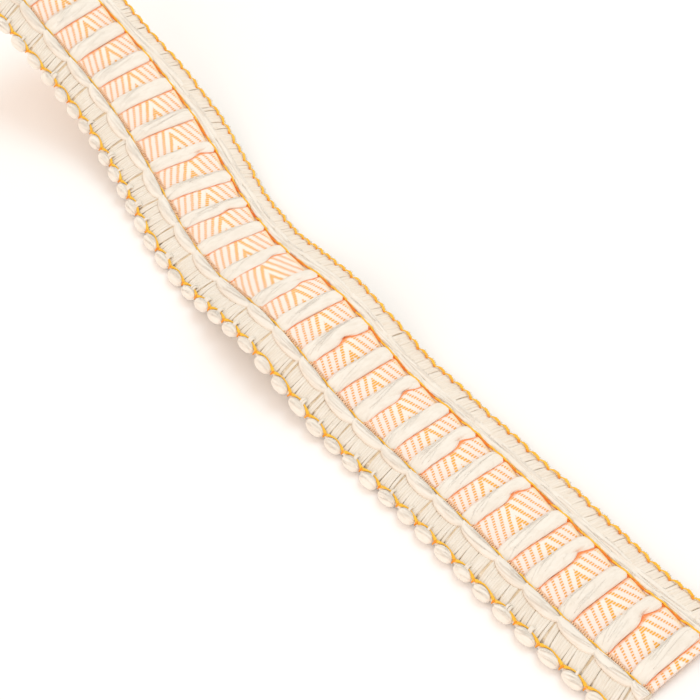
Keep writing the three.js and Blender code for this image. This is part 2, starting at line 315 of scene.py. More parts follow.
class Shader:
    """A material made node by node; link() also takes plain numbers and colours"""

    def __init__(self, name):
        self.material = bpy.data.materials.new(name)
        self.material.use_nodes = True
        self.tree = self.material.node_tree
        self.tree.nodes.clear()

    def node(self, kind, inputs=(), **settings):
        made = self.tree.nodes.new("ShaderNode" + kind)
        for key, value in settings.items():
            setattr(made, key, value)
        for key, value in dict(inputs).items():
            self.link(value, made.inputs[key])
        return made

    def link(self, value, socket):
        if isinstance(value, bpy.types.NodeSocket):
            self.tree.links.new(value, socket)
        else:
            socket.default_value = value

    def calc(self, operation, a, b=0.0, c=0.0):
        return self.node("Math", {0: a, 1: b, 2: c}, operation=operation).outputs[0]

    def times(self, a, b):
        return self.calc("MULTIPLY", a, b)

    def minus(self, a, b):
        return self.calc("SUBTRACT", a, b)

    def ramp(self, value, low, high, to_low=0.0, to_high=1.0, kind="SMOOTHSTEP"):
        made = self.node("MapRange", {0: value, 1: low, 2: high, 3: to_low, 4: to_high},
                         interpolation_type=kind)
        return made.outputs[0]

    def mix(self, share, a, b):
        made = self.node("Mix", data_type="RGBA")
        self.link(share, made.inputs[0])
        self.link(a, made.inputs[6])
        self.link(b, made.inputs[7])
        return made.outputs[2]

    def uv(self):
        read = self.node("UVMap", uv_map="Yarn")
        parts = self.node("SeparateXYZ", {0: read.outputs[0]})
        return parts.outputs[0], parts.outputs[1]

    def attribute(self, name):
        return self.node("Attribute", attribute_name=name).outputs["Fac"]

    def noise(self, x, y, z, detail=2.0):
        place = self.node("CombineXYZ", {0: x, 1: y, 2: z}).outputs[0]
        made = self.node("TexNoise", {"Vector": place, "Scale": 1.0, "Detail": detail})
        return made.outputs[0]

    def patches(self, x, y, scale, layer, detail=2.0):
        """Noise of one scale both ways; another layer has other patches"""
        return self.noise(self.times(x, scale), self.times(y, scale), layer, detail)

    def bump(self, height, distance, strength):
        made = self.node("Bump", {"Height": height, "Distance": distance, "Strength": strength})
        return made.outputs[0]

    def finish(self, color, normal, roughness, sheen, sheen_tint):
        surface = self.node("BsdfPrincipled", {
            "Base Color": color, "Roughness": roughness, "Sheen Weight": sheen, "Sheen Roughness": 0.5,
            "Sheen Tint": sheen_tint, "Specular IOR Level": 0.3})
        if normal is not None:
            self.link(normal, surface.inputs["Normal"])
        out = self.node("OutputMaterial")
        self.tree.links.new(surface.outputs[0], out.inputs[0])
        return self.material


# Streaks and clumps of fibres: how fast they change along the yarn, and how much they darken it
STREAKS = {"along": 0.5, "detail": 3.0, "range": (0.38, 0.55), "dark": 0.45, "bump": 0.00004}
CLUMPS = {"along": 0.35, "round": 2.5, "detail": 1.0, "range": (0.35, 0.65), "dark": 0.4}
TONE = {"layers": 57.0, "dark": 0.25}


def yarn_material(name, light, dark, fibres=14.0, roughness=0.85, sheen=0.25):
    """Cotton yarn with fine fibre streaks that run along it"""
    s = Shader(name)
    u, v = s.uv()
    tone = s.attribute("tone")
    layer = s.times(tone, TONE["layers"])
    streaks = s.noise(s.times(u, STREAKS["along"]), s.times(v, fibres), layer, STREAKS["detail"])
    clumps = s.noise(s.times(u, CLUMPS["along"]), s.times(v, CLUMPS["round"]), layer, CLUMPS["detail"])
    clumped = s.ramp(clumps, *CLUMPS["range"])
    shade = s.calc("MULTIPLY_ADD", clumped, CLUMPS["dark"], s.times(tone, TONE["dark"]))
    streaked = s.ramp(streaks, *STREAKS["range"], 1.0, 0.0)
    shade = s.calc("ADD", shade, s.times(streaked, STREAKS["dark"]))
    color = s.mix(shade, (*light, 1.0), (*dark, 1.0))
    normal = s.bump(streaks, STREAKS["bump"], 0.8)
    return s.finish(color, normal, roughness, sheen, COTTON_SHEEN)


# Linear colours, the light fibres of each yarn and then the dark ones
CREAM_SHEEN = 0.4
THREAD = {"fibres": 5.0, "roughness": 0.6, "sheen": 0.1}
cream = yarn_material("cream_cotton", (0.85, 0.80, 0.728), (0.79, 0.727, 0.645), sheen=CREAM_SHEEN)
cream_fine = yarn_material("cream_fine_yarn", (0.825, 0.765, 0.685), (0.77, 0.69, 0.59), fibres=6.0,
                           sheen=CREAM_SHEEN)
cream_fibre = yarn_material("cream_loose_fibres", (0.86, 0.815, 0.75), (0.78, 0.71, 0.63), fibres=2.0,
                            sheen=CREAM_SHEEN)
gold = yarn_material("golden_thread", (0.90, 0.55, 0.05), (0.86, 0.41, 0.025), **THREAD)
amber = yarn_material("amber_thread", (0.86, 0.36, 0.025), (0.78, 0.22, 0.012), **THREAD)
# The deep orange strand's colour is partly its own and partly painted shade, as it lies in the windows
# between rungs
deep = yarn_material("deep_orange_thread", (0.83, 0.25, 0.015), (0.71, 0.14, 0.008), **THREAD)
russet = yarn_material("russet_stitches", (0.93, 0.61, 0.38), (0.84, 0.46, 0.25), fibres=5.0,
                       roughness=0.75)
# Painted shade: this orange thread along each rung's near side stands in for the shade in the crease
# there
crease_shade_thread = yarn_material("rung_edge_shade_thread", (0.87, 0.31, 0.11), (0.80, 0.20, 0.06), **THREAD)
# The ground cloth is browner than the yarns over it: partly its own tone, partly painted shade for the
# gaps between those yarns
ground = yarn_material("band_ground_cloth", (0.88, 0.80, 0.68), (0.72, 0.54, 0.34), fibres=4.0)


# The weave, in millimetres
WEAVE = {
    "pick": 0.5, "slant": 2.0, "chevron": 4.1, "first": 3.9, "curl": 0.025, "lean": 0.15, "taper": 0.35,
    "centre": 0.6, "sway": 1.4, "sway_scale": 0.07, "wobble": 0.8, "wobble_scale": 0.12,
}
# Half width of a stroke at the chevrons' centre and 6 mm off it, and what blots do to it
STROKE = {"half_inner": 0.96, "half_outer": 0.8, "outer": 6.0, "blot_scale": 1.5, "blots": (0.72, 1.22)}
INK = {
    "inner": (0.86, 0.39, 0.0, 1.0), "outer": (0.84, 0.35, 0.05, 1.0), "faded": (0.88, 0.50, 0.17, 1.0),
    "ground": (0.91, 0.83, 0.75, 1.0), "ground_outer": (0.91, 0.79, 0.72, 1.0),
    # Painted shade: the orange laid along each rung's near side, where the ribbon meets the rung
    "blush": (0.91, 0.68, 0.57, 1.0), "pick": (0.90, 0.64, 0.51, 1.0), "crease": (0.95, 0.34, 0.12, 1.0),
    "knob_edge": (0.86, 0.60, 0.42, 1.0), "lobe_edge": (0.91, 0.70, 0.43, 1.0),
}
SELVEDGE = {"range": (6.85, 7.15), "strength": 0.75}


def stroke_fields(s, along, across):
    """Each place's distance from the chevrons' middle, from a stroke's edge and from its pick's middle"""
    sway = s.minus(s.noise(s.times(along, WEAVE["sway_scale"]), 0.0, 5.0, 0.0), 0.5)
    centre = s.calc("MULTIPLY_ADD", sway, WEAVE["sway"], WEAVE["centre"])
    off = s.calc("ABSOLUTE", s.minus(across, centre))
    off = s.calc("MULTIPLY_ADD", s.times(off, off), WEAVE["curl"], off)
    picks = s.calc("DIVIDE", along, WEAVE["pick"])
    aside = s.minus(s.calc("FRACT", picks), 0.5)
    stepped = s.times(s.calc("MULTIPLY_ADD", aside, WEAVE["lean"] - 1, picks), WEAVE["pick"])
    climbed = s.calc("MULTIPLY_ADD", off, -WEAVE["slant"], s.minus(stepped, WEAVE["first"]))
    phase = s.minus(s.calc("FRACT", s.calc("DIVIDE", climbed, WEAVE["chevron"])), 0.5)
    from_stroke = s.times(s.calc("ABSOLUTE", phase), WEAVE["chevron"])
    half = s.ramp(off, 0.0, STROKE["outer"], STROKE["half_inner"], STROKE["half_outer"], "LINEAR")
    blots = s.patches(along, across, STROKE["blot_scale"], 4.0, 1.0)
    half = s.times(half, s.ramp(blots, 0.3, 0.7, *STROKE["blots"], "LINEAR"))
    aside = s.calc("ABSOLUTE", aside)
    full = s.calc("MULTIPLY_ADD", s.times(aside, aside), -4 * WEAVE["taper"], 1.0)
    edge = s.minus(from_stroke, s.times(half, full))
    return off, edge, aside


def stroke_color(s, along, across, outward):
    """The strokes' orange, with faded spots away from the middle"""
    spots = s.patches(along, across, 2.2, 9.0)
    ink = s.mix(outward, INK["inner"], INK["outer"])
    faded = s.times(s.times(s.ramp(spots, 0.5, 0.8), 0.5), outward)
    return s.mix(faded, ink, INK["faded"])


def between_color(s, edge, aside, outward):
    """The pale ground, with a blush beside each stroke and a line between picks"""
    base = s.mix(outward, INK["ground"], INK["ground_outer"])
    base = s.mix(s.times(s.ramp(edge, 0.0, 0.55, 1.0, 0.0), 0.5), base, INK["blush"])
    return s.mix(s.times(s.ramp(aside, 0.3, 0.5), 0.25), base, INK["pick"])


def ribbon_material():
    """Chevrons of stepped weave points on a white and pale pink ground"""
    s = Shader("herringbone_weave")
    along, across = s.uv()
    wobble = s.minus(s.patches(along, across, WEAVE["wobble_scale"], 3.0), 0.5)
    along = s.calc("MULTIPLY_ADD", wobble, WEAVE["wobble"], along)
    off, edge, aside = stroke_fields(s, along, across)
    outward = s.ramp(off, 1.2, 4.5)
    stroke = s.ramp(edge, -0.14, 0.10, 1.0, 0.0)
    groove = s.times(s.ramp(aside, 0.14, 0.38), s.ramp(off, 0.8, 4.5, 0.7, 1.0))
    shown = s.times(stroke, s.minus(1.0, groove))
    ink = stroke_color(s, along, across, outward)
    color = s.mix(shown, between_color(s, edge, aside, outward), ink)
    selvedge = s.ramp(s.calc("ABSOLUTE", across), *SELVEDGE["range"])
    edge_color = s.mix(s.ramp(across, -1.0, 1.0), INK["knob_edge"], INK["lobe_edge"])
    color = s.mix(s.times(selvedge, SELVEDGE["strength"]), color, edge_color)
    # Painted shade in orange along each rung's near side
    color = s.mix(s.attribute("crease"), color, INK["crease"])
    height = s.calc("ADD", s.times(stroke, 0.6), s.times(groove, -0.5))
    return s.finish(color, s.bump(height, 0.00005, 0.9), 0.7, 0.0, WHITE)


# The ribbon

def waist_share(along, across):
    """How near each place is to the waist of the rung nearest to it"""
    nearest = np.abs(along[..., None] - RUNGS).argmin(-1)
    share = np.zeros(np.broadcast(along, across).shape)
    for k in WAISTS:
        share = np.where(nearest == k, at_waist(k, across), share)
    return share


def ribbon_top(along, across):
    """Height of the cloth: flat under a rung, highest right past it, then sloping down to the next"""
    k = np.searchsorted(RUNGS_BEYOND, along, side="right") - 1
    k = np.clip(k, 0, len(RUNGS_BEYOND) - 2)
    last, following = RUNGS_BEYOND[k], RUNGS_BEYOND[k + 1]
    past = along - last + RIBBON["waist_shift"] * waist_share(along, across)
    rise = smooth(past, RIBBON["rise_from"], RIBBON["crest"])
    falling = following - last - RIBBON["fall_to"] - RIBBON["crest"]
    fall = np.clip((following - along - RIBBON["fall_to"]) / falling, 0, 1) ** 0.9
    sway = 0.92 + 0.08 * np.sin(along * 0.31 + 1.3 * np.sin(along * 0.117))
    arch = np.where(across > 0, RIBBON["lobe_arch"], RIBBON["knob_arch"])
    arched = 1 - arch * (np.abs(across) / RIBBON_EDGE) ** 2.5
    return RIBBON["top"] + RIBBON["puff"] * rise * fall * sway * arched


# The orange shade painted by each rung, with what patches and waists add to it
PAINTED_SHADE = {
    "starts": (-2.2, -1.6), "wide": 0.45, "wide_patchy": 0.35, "wide_waist": 0.75, "strength": 0.4,
    "strength_patchy": 0.4, "strength_waist": 0.6,
}


def crease_shade(along, across):
    """Strength of the orange shade painted along each rung's near side"""
    off = from_rung(along)
    waist = waist_share(along, across)
    edge = RUNG["half"] - RUNG["pinch"] * waist
    patchy = 0.5 + 0.3 * np.sin(across * 0.8 + along * 1.37) + 0.2 * np.sin(across * 2.1 - along * 0.7)
    wide = PAINTED_SHADE["wide"] + PAINTED_SHADE["wide_patchy"] * patchy + PAINTED_SHADE["wide_waist"] * waist
    band = smooth(off, *PAINTED_SHADE["starts"]) * (1 - smooth(off, edge + 0.3 * wide, edge + wide))
    strength = PAINTED_SHADE["strength"] + PAINTED_SHADE["strength_patchy"] * patchy + PAINTED_SHADE["strength_waist"] * waist
    return np.clip(band * strength, 0, 1)


def sheet_faces(rows, cols):
    """Both sides and the rim of a closed sheet whose lower points come after its upper ones"""
    index = np.arange(rows * cols).reshape(rows, cols)
    a, b, c, d = index[:-1, :-1], index[1:, :-1], index[1:, 1:], index[:-1, 1:]
    upper = np.stack([a, b, c, d], -1).reshape(-1, 4)
    lower = upper[:, ::-1] + rows * cols
    rim = np.concatenate([index[:, 0], index[-1, 1:], index[-2::-1, -1], index[0, -2::-1]])
    under = rim + rows * cols
    walls = np.stack([rim[:-1], under[:-1], under[1:], rim[1:]], -1)
    return [upper, lower, walls]


def ribbon():
    """A thin sheet, thinner towards its edges"""
    step = RIBBON["grid"]
    rows, cols = round(LENGTH / step) + 1, round(RIBBON["width"] / step) + 1
    along, across = np.meshgrid(np.linspace(0, LENGTH, rows),
                                np.linspace(-RIBBON_EDGE, RIBBON_EDGE, cols), indexing="ij")
    top = ribbon_top(along, across)
    thick = RIBBON["thickness"] * (1 - RIBBON["edge_thinning"] * (np.abs(across) / RIBBON_EDGE) ** 12)
    points = np.concatenate([np.stack([along, across, top], -1).reshape(-1, 3),
                             np.stack([along, across, top - thick], -1).reshape(-1, 3)])
    faces = sheet_faces(rows, cols)
    uv = np.stack([along, across], -1).reshape(-1, 2)
    uv = np.concatenate([uv, uv])
    # How strongly the painted orange shade shows beside each rung
    crease = crease_shade(along, across).ravel()
    crease = np.concatenate([crease, np.zeros_like(crease)])
    piece = make_mesh("herringbone_ribbon", points, faces, [uv[f] for f in faces], {"crease": crease},
                      ribbon_material())
    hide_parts("ribbon")
    return piece


# The cream ladder

# The two bundles of a rung
BUNDLE = {
    "steps": 40, "above": 1.56, "rise": 0.5, "sag": 0.4, "dip": 0.5, "lift": 0.05, "high": 0.46,
    "swell": 0.16, "uneven": 0.14, "lobe_cut": 1.5, "knob_cut": 0.7,
}
# The orange thread along a rung's near side, which paints the shade in the crease there
EDGING = {"gap": 0.08, "over": 0.03, "thin": 0.03, "patchy": 0.1, "waist": 0.12, "sides": 6, "skip": 3}


def rungs(loose, edging):
    """Two soft bundles for each rung, of which the near one dips under at a parted rung's waist"""
    yarns, draw = Yarns(), np.random.default_rng(11)
    x = np.linspace(-1, 1, BUNDLE["steps"])
    across = RUNG["reach"] * x
    arch = 1 - np.abs(x) ** 3
    to_knob = smooth(-x, 0.45, 1.0)
    end_cut = BUNDLE["lobe_cut"] * smooth(x, 0.74, 0.98) + BUNDLE["knob_cut"] * smooth(-x, 0.8, 0.98)
    for k, place in enumerate(RUNGS):
        bow, lean = draw.uniform(-0.15, 0.15), draw.uniform(-0.1, 0.15)
        waist = at_waist(k, across)
        uneven = draw.uniform(-BUNDLE["uneven"], BUNDLE["uneven"])
        near_share = 0.5 + uneven + 0.08 * np.sin(TURN * (0.4 * x + draw.uniform()))
        half = RUNG["half"] * draw.uniform(0.93, 1.05) + WIDENED.get(k, 0)
        full = 2 * half - end_cut - RUNG["pinch"] * waist
        middle = place + RUNG["sweep"] * to_knob + bow * arch + lean * x
        far_side, near_side = middle - half + end_cut, middle + half - RUNG["pinch"] * waist
        for near in (0, 1):
            share = near_share if near else 1 - near_share
            wide = (full * share + RUNG["overlap"]) / 2
            along = near_side - wide if near else far_side + wide
            height = BUNDLE["above"] + BUNDLE["rise"] * arch - BUNDLE["sag"] * to_knob
            height = height + draw.uniform(-0.06, 0.06)
            height = height - (BUNDLE["dip"] * waist if near else -BUNDLE["lift"] * waist)
            yarns.roving(np.stack([along, across, height], 1), wide,
                         BUNDLE["high"] + BUNDLE["swell"] * arch, draw, loose,
                         twist=draw.uniform(0.018, 0.035), **RUNG_ROVING)
        add_edging(edging, near_side + EDGING["gap"], x, waist, draw)
    piece = yarns.build("cream_rungs", cream, "cream_cotton")
    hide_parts("cream_ladder")


def add_edging(edging, along, x, waist, draw):
    """The thin thread along one rung, thicker at a waist, with x from -1 to 1 across the rung. It is an
    orange line of painted shade in the crease by the rung's near side
    """
    across = RUNG["reach"] * x
    patchy = 0.5 + 0.5 * np.sin(TURN * (draw.uniform(0.8, 1.4) * x + draw.uniform()))
    path = np.stack([along, across, ribbon_top(along, across) + EDGING["over"]], 1)
    thick = EDGING["thin"] + EDGING["patchy"] * patchy ** 2 + EDGING["waist"] * waist
    middle = slice(EDGING["skip"], -EDGING["skip"])
    edging.add(path[middle], thick[middle], sides=EDGING["sides"], tone=draw.uniform())


# Cross outline of a band's ground: share of the way from its inner to its outer edge, and height
GROUND_OUTLINE = {
    "share": [0.0, 0.0, 0.2, 0.5, 0.86, 0.97, 1.0, 1.0],
    "above": [0.0, 1.55, 1.6, 1.55, 1.55, 1.15, 0.5, 0.0],
}
GROUND_STEP = 0.5
GROUND_INSET = 0.15
# The painted shade in the notch past each rung on the knob side
NOTCH = {"past": 0.7, "across": -11.4, "long": 1.0, "wide": 1.1, "tone": 0.1, "added": 3.0}


def ground_strip(sign, outer, along, first):
    """Points, side faces, their uvs and end faces of one flat strip, numbered from first"""
    order = 1 if sign < 0 else -1
    share = np.array(GROUND_OUTLINE["share"])[::order]
    above = np.array(GROUND_OUTLINE["above"])[::order]
    n, steps = len(share), len(along)
    across = sign * (BAND_INNER + share[None] * (outer[:, None] - BAND_INNER))
    points = np.stack([np.repeat(along[:, None], n, 1), across, np.repeat(above[None], steps, 0)], -1)
    i, j = np.meshgrid(np.arange(steps - 1), np.arange(n), indexing="ij")
    a, b = first + i * n + j, first + i * n + (j + 1) % n
    walls = np.stack([a, a + n, b + n, b], -1).reshape(-1, 4)
    corners = ((0, 0), (1, 0), (1, 1), (0, 1))
    uvs = np.stack([np.stack([along[i + k], j + m], -1) for k, m in corners], 2).reshape(-1, 4, 2)
    ends = np.stack([first + np.arange(n), (first + (steps - 1) * n + np.arange(n))[::-1]])
    return points.reshape(-1, 3), walls, uvs, ends


def band_ground():
    """The close cloth under the yarns of both bands, with painted shade in the notches"""
    along = np.linspace(0, LENGTH, round(LENGTH / GROUND_STEP) + 1)
    knob = ground_strip(-1, np.full(len(along), KNOB_OUTER), along, 0)
    lobe = ground_strip(1, lobe_line(along) - GROUND_INSET, along, len(knob[0]))
    points, walls, uvs, ends = (np.concatenate([a, b]) for a, b in zip(knob, lobe))
    # Painted shade: the ground turns darker in a spot past each rung, under the leaf floats' ends
    by_rung = np.exp(-((from_rung(points[:, 0]) - NOTCH["past"]) / NOTCH["long"]) ** 2)
    notch = by_rung * np.exp(-((points[:, 1] - NOTCH["across"]) / NOTCH["wide"]) ** 2)
    tone = {"tone": NOTCH["tone"] + NOTCH["added"] * notch}
    make_mesh("band_ground", points, [walls, ends], [uvs, np.zeros((*ends.shape, 2))], tone, ground)


def on_length(path):
    """The rows of a path that lie on the cut length, or None if they are too few"""
    keep = (path[:, 0] > END_GAP) & (path[:, 0] < LENGTH - END_GAP)
    return keep if keep.sum() > FEWEST_STEPS else None


LEAF = {
    "steps": 36, "start": 0.1, "end": 0.75, "inner": 8.2, "lean": 0.1, "half": (1.24, 1.38), "rim": 0.08,
    "above": 1.62, "rise": 0.45, "fall": 0.15, "high": 0.32, "swell": 0.42,
}


def leaf_floats(loose):
    """The soft floats beside the inner threads, one from each rung to the next"""
    yarns, draw = Yarns(), np.random.default_rng(12)
    x = np.linspace(-1, 1, LEAF["steps"])
    full = np.sqrt(1 - np.abs(x) ** 2.4)
    high = LEAF["high"] + LEAF["swell"] * full
    above = LEAF["above"] + LEAF["rise"] * full - LEAF["fall"] * x
    for start, end in zip(RUNGS_BEYOND[:-1], RUNGS_BEYOND[1:]):
        along = np.linspace(start + LEAF["start"], end + LEAF["end"], LEAF["steps"])
        wide = draw.uniform(*LEAF["half"]) * full + LEAF["rim"]
        path = np.stack([along, -(LEAF["inner"] + wide + LEAF["lean"] * x), above], 1)
        keep = on_length(path)
        if keep is not None:
            yarns.roving(path[keep], wide[keep], high[keep], draw, loose, **LEAF_ROVING)
    yarns.build("leaf_floats", cream, "cream_cotton")


# The flat strands of the lobed band, which follow two lines
FLAT = {
    "steps": 48, "lines": (9.02, 10.2), "length": (13, 22), "overlap": 1.6, "sway": 0.12, "above": 1.6,
    "rise": 0.1, "half": 0.72, "rim": 0.05, "high": 0.26, "rim_high": 0.1,
}


def lobe_floats(loose):
    """Flat strands along the lobed band, beside its inner thread"""
    yarns, draw = Yarns(), np.random.default_rng(22)
    full = np.sqrt(1 - np.abs(np.linspace(-1, 1, FLAT["steps"])) ** 6)
    wide = FLAT["half"] * full + FLAT["rim"]
    high = FLAT["high"] * full + FLAT["rim_high"]
    for across in FLAT["lines"]:
        start = draw.uniform(-6, 0)
        while start < LENGTH:
            length = draw.uniform(*FLAT["length"])
            along = np.linspace(start, start + length, FLAT["steps"])
            sway = FLAT["sway"] * np.sin(along * 0.45 + draw.uniform(0, TURN))
            above = FLAT["above"] + FLAT["rise"] * full + draw.uniform(-0.04, 0.05)
            path = np.stack([along, across + sway, above], 1)
            keep = on_length(path)
            if keep is not None:
                yarns.roving(path[keep], wide[keep], high[keep], draw, loose, **FLAT_ROVING)
            start += length - FLAT["overlap"]
    yarns.build("lobe_floats", cream, "cream_cotton")


COMB = {
    "steps": 11, "pitch": 1.16, "slant": 1.6, "pair": (-0.28, 0.28), "sway": 0.14, "gather": 0.35,
    "inner": -9.4, "reach": 5.9, "above": 1.32, "stray": 0.08, "rise": 0.42, "fall": 0.05,
    "half": (0.33, 0.38), "high": 0.25, "ahead": 0.2, "by_rung": 0.62,
}


def comb_threads():
    """Fine threads in pairs that slant out to the beaded edge, sparser by each rung"""
    yarns, draw = Yarns(), np.random.default_rng(13)
    x = np.linspace(0, 1, COMB["steps"])
    rise = np.sin(math.pi * (0.12 + 0.8 * x))
    for place in np.arange(-COMB["slant"], LENGTH - 0.4, COMB["pitch"]):
        sway = draw.uniform(-COMB["sway"], COMB["sway"])
        lift = draw.uniform(-COMB["stray"], COMB["stray"])
        gather = COMB["gather"] * math.sin(TURN * share_of_pitch(place + COMB["slant"], FIRST_NODE))
        by_rung = abs(from_rung(place + COMB["ahead"])) < COMB["by_rung"]
        for shift in COMB["pair"]:
            if by_rung and shift > 0:
                continue
            along = place + shift + sway + COMB["slant"] * x + gather * x * x
            above = COMB["above"] + lift + COMB["rise"] * rise - COMB["fall"] * x
            path = np.stack([along, COMB["inner"] - COMB["reach"] * x, above], 1)
            keep = on_length(path)
            if keep is not None:
                yarns.add(path[keep], draw.uniform(*COMB["half"]), COMB["high"], tone=draw.uniform())
    yarns.build("comb_threads", cream_fine, "cream_cotton")


def lobe_share(along):
    """Share of the way along one arc of the lobed edge's thread, two arcs in each pitch"""
    return (share_of_pitch(along, FIRST_LOBE - 0.5 * PITCH) * 2) % 1


def lobe_line(along):
    """How far out the lobed edge's thread runs, in arcs with a shorter rise than fall"""
    along = np.asarray(along, float)
    share, rise = lobe_share(along), LOBE_ARC["rise"]
    share = np.where(share < rise, 0.5 * share / rise, 0.5 + 0.5 * (share - rise) / (1 - rise))
    lobe = 0.5 + 0.5 * np.cos(TURN * share_of_pitch(along, FIRST_LOBE))
    wander = 0.22 * np.sin(along * 0.13 + 0.8) + 0.1 * np.sin(along * 0.37)
    base = LOBE_ARC["base"] + LOBE_ARC["wider"] * smooth(along, *LOBE_ARC["widens"])
    return base + wander + LOBE_ARC["lobe"] * lobe + LOBE_ARC["arc"] * np.sin(math.pi * share) ** 0.8


FAN = {
    "steps": 11, "pitch": 0.56, "first": -0.8, "slant": 0.9, "gather": 0.2, "past_edge": 0.25,
    "inner": 9.9, "bend": (-0.1, 0.35), "above": 1.5, "rise": 0.3, "fall": 0.55, "half": (0.38, 0.48),
    "high": 0.24,
}


def lobe_threads():
    """Fine threads that fan over the lobed band and turn round its edge"""
    yarns, draw = Yarns(), np.random.default_rng(14)
    x = np.linspace(0, 1, FAN["steps"])
    above = FAN["above"] + FAN["rise"] * np.sin(math.pi * (0.15 + 0.65 * x)) - FAN["fall"] * x ** 4
    for place in np.arange(FAN["first"], LENGTH - 0.3, FAN["pitch"]):
        end = place + FAN["slant"]
        gather = FAN["gather"] * math.sin(TURN * lobe_share(end))
        reach = lobe_line(end) + FAN["past_edge"] + draw.uniform(-0.08, 0.16)
        bend = draw.uniform(*FAN["bend"])
        along = place + draw.uniform(-0.12, 0.12) + FAN["slant"] * x ** 1.3
        along = along - gather * x * x + bend * np.sin(math.pi * x)
        across = FAN["inner"] + (reach - FAN["inner"]) * x
        path = np.stack([along, across, above + draw.uniform(-0.06, 0.08)], 1)
        keep = on_length(path)
        if keep is not None:
            yarns.add(path[keep], draw.uniform(*FAN["half"]), FAN["high"], tone=draw.uniform())
    yarns.build("lobe_threads", cream_fine, "cream_cotton")


# The beaded edge

BEAD_STEPS = 26
NECK = {"step": 0.6, "across": -15.5, "above": 1.2, "radius": 0.45}


def beads(loose):
    """A wound bead in each pitch, and the cord that joins them"""
    yarns, draw = Yarns(), np.random.default_rng(15)
    x = np.sin(np.linspace(-0.49, 0.49, BEAD_STEPS) * math.pi)
    swell = np.sqrt(1 - np.abs(x) ** 2.2)
    stray, rim = BEAD["stray"], BEAD["rim"]
    for k in range(BEAD_COUNT):
        middle = FIRST_NODE + (k + 0.5) * PITCH + draw.uniform(-stray, stray)
        long, wide, high = (BEAD[size] * draw.uniform(0.93, 1.07) for size in ("long", "wide", "high"))
        across = BEAD["across"] + draw.uniform(-stray, stray) - 0.12 + 0.12 * swell
        path = np.stack([middle + long * x, across, np.full(BEAD_STEPS, BEAD["above"])], 1)
        yarns.roving(path, wide * swell + rim, high * swell + rim, draw, loose, **BEAD_ROVING)
    along = np.arange(FIRST_NODE, FIRST_NODE + BEAD_COUNT * PITCH, NECK["step"])
    path = np.stack([along, np.full(len(along), NECK["across"]), np.full(len(along), NECK["above"])], 1)
    yarns.add(path, NECK["radius"], tone=0.8)
    piece = yarns.build("picot_beads", cream, "cream_cotton")
    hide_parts("picot_cord")


def bead_wave(along):
    """How far in the bead thread stands from its nodes, from 0 to 1"""
    share = share_of_pitch(along, FIRST_NODE)
    share = np.where(share < 0.4, share / 0.8, 0.5 + (share - 0.4) / 1.2)
    return (1 - np.abs(2 * share - 1) ** 1.6) ** 0.9


# The two outer threads, each with what its wave adds
BEAD_EDGE = {
    "step": 0.22, "across": -15.7, "inward": 0.85, "above": 1.85, "rise": 0.2, "thick": 0.37,
    "thinner": 0.19,
}
LOBE_EDGE = {"step": 0.22, "above": 1.97, "rise": 0.05, "thin": 0.16, "thicker": 0.15}


def bead_edge_thread():
    """Thick at its nodes between the beads and thinner where it passes them"""
    yarns = Yarns()
    along = np.arange(END_GAP, LENGTH - END_GAP, BEAD_EDGE["step"])
    arc = bead_wave(along)
    across = BEAD_EDGE["across"] + BEAD_EDGE["inward"] * arc
    path = np.stack([along, across, BEAD_EDGE["above"] + BEAD_EDGE["rise"] * arc], 1)
    thick = BEAD_EDGE["thick"] - BEAD_EDGE["thinner"] * smooth(arc, 0.3, 1.0)
    yarns.add(path, thick, tone=0.3, **BEAD_EDGE_TWIST)
    piece = yarns.build("bead_edge_thread", gold, "orange_thread")
    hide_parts("thread_bead_edge")


def edge_knots():
    """Short turns of the edge threads, between the beads and at the lobed edge's dips"""
    yarns, draw = Yarns(), np.random.default_rng(20)
    x = np.linspace(0, 1, 10)
    for node in np.arange(FIRST_NODE, LENGTH - 1, PITCH):
        tail = draw.uniform(0.45, 0.8)
        path = np.stack([node + 0.1 - 0.3 * x, -15.6 - tail * x, 2.0 - 0.75 * x * x], 1)
        yarns.add(path, 0.34 - 0.16 * x, tone=draw.uniform(), **KNOT_TWIST)
    for node in np.arange(FIRST_LOBE + 0.5 * PITCH, LENGTH - 1, PITCH / 2):
        along = node - 0.6 + 0.75 * x
        path = np.stack([along, lobe_line(along) - 0.08, 2.02 - 0.12 * x], 1)
        thick = 0.16 + draw.uniform(0.08, 0.22) * np.sin(math.pi * x)
        yarns.add(path, thick, tone=draw.uniform(), **KNOT_TWIST)
    yarns.build("edge_knots", amber, "orange_thread")


# The cream threads that hold the beads
WRAP = {
    "apart": 0.5, "stray": 0.2, "slant": 0.5, "inner": -13.9, "reach": 1.7, "above": 1.6, "rise": 0.72,
    "half": (0.26, 0.34), "high": 0.26,
}


def bead_wraps():
    """Cream threads across the edge thread, from none to three a bead"""
    yarns, draw = Yarns(), np.random.default_rng(19)
    x = np.linspace(0, 1, 9)
    across = WRAP["inner"] - WRAP["reach"] * x
    above = WRAP["above"] + WRAP["rise"] * np.sin(math.pi * (0.1 + 0.8 * x))
    for k in range(BEAD_COUNT):
        for turn in range(draw.integers(0, 4)):
            middle = FIRST_NODE + (k + 0.5) * PITCH - WRAP["stray"] + WRAP["apart"] * turn
            middle = middle + draw.uniform(-WRAP["stray"], WRAP["stray"])
            path = np.stack([middle - WRAP["slant"] / 2 + WRAP["slant"] * x, across, above], 1)
            yarns.add(path, draw.uniform(*WRAP["half"]), WRAP["high"], tone=draw.uniform())
    yarns.build("bead_wraps", cream_fine, "cream_cotton")


# The binding threads

INNER_STEP = 0.25
# Where a window starts past its rung, and ends before the next rung or before the cut
WINDOW = {"past": 1.6, "before": 1.7, "cut": 0.3}


